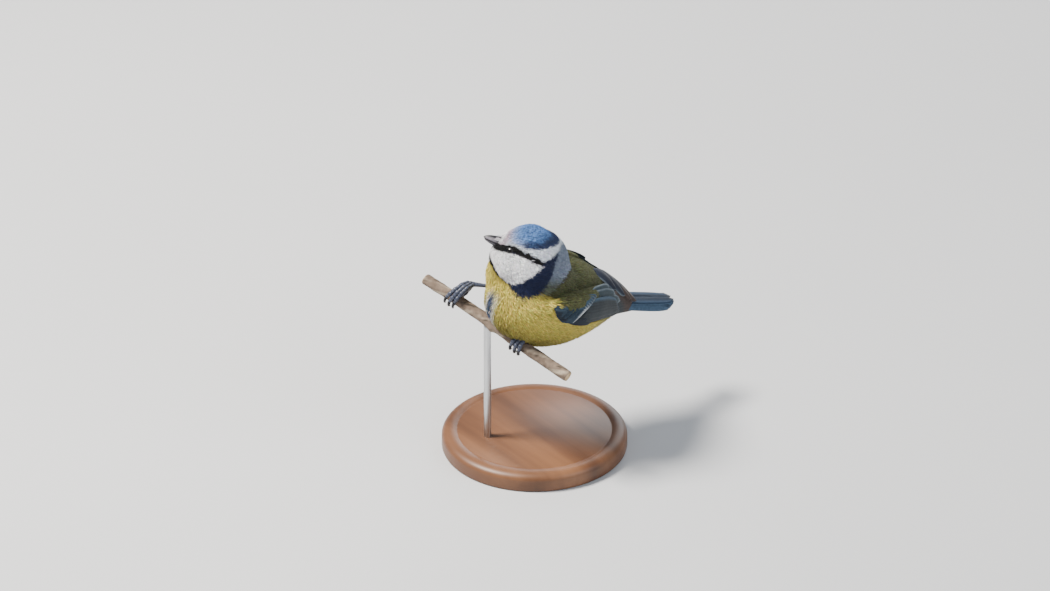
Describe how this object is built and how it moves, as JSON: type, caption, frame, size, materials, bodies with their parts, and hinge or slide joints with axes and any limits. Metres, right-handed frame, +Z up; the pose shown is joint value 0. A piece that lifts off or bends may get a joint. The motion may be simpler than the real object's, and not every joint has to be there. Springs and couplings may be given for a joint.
{
  "type": "small songbird display model",
  "caption": "Still, life-size model of a plump blue and yellow songbird gripping a cut twig, its head turned aside, on a round stand with an upright rod.",
  "frame": {"origin": "centre of the stand's flat underside", "axes": "+Z up; the bird's trunk heads towards -Y and its left side is +X"},
  "size_m": [0.08, 0.1138, 0.1103],
  "materials": {
    "crown_feathers": "soft feathers: blue cap, white brow and cheek, dark eye line",
    "collar_feathers": "soft navy feathers with a pale nape patch",
    "body_feathers": "soft yellow breast and belly feathers, olive-green back",
    "wing_feathers": "smooth blue-grey and teal flight feathers with a white bar",
    "tail_feathers": "smooth slate-blue tail feathers with paler blue edges",
    "horn": "satin dark horn",
    "eye": "wet gloss, near black",
    "leg_skin": "scaly slate-blue skin",
    "bark": "rough grey-brown bark with pale worn patches",
    "stand_wood": "satin oiled wood",
    "stand_steel": "brushed"
  },
  "bodies": {
    "root": {"head": "crown_feathers", "neck": "collar_feathers", "trunk": "body_feathers", "wing_left": "wing_feathers", "wing_right": "wing_feathers", "tail": "tail_feathers", "bill_upper": "horn", "bill_lower": "horn", "eye_left": "eye", "eye_right": "eye", "tarsus_left": "leg_skin", "tarsus_right": "leg_skin", "foot_left": "leg_skin", "foot_right": "leg_skin", "twig": "bark", "stand_base": "stand_wood", "stand_rod": "stand_steel", "claw_left_inner": "horn", "claw_left_middle": "horn", "claw_left_outer": "horn", "claw_left_hind": "horn", "claw_right_inner": "horn", "claw_right_middle": "horn", "claw_right_outer": "horn", "claw_right_hind": "horn"}
  },
  "joints": []
}
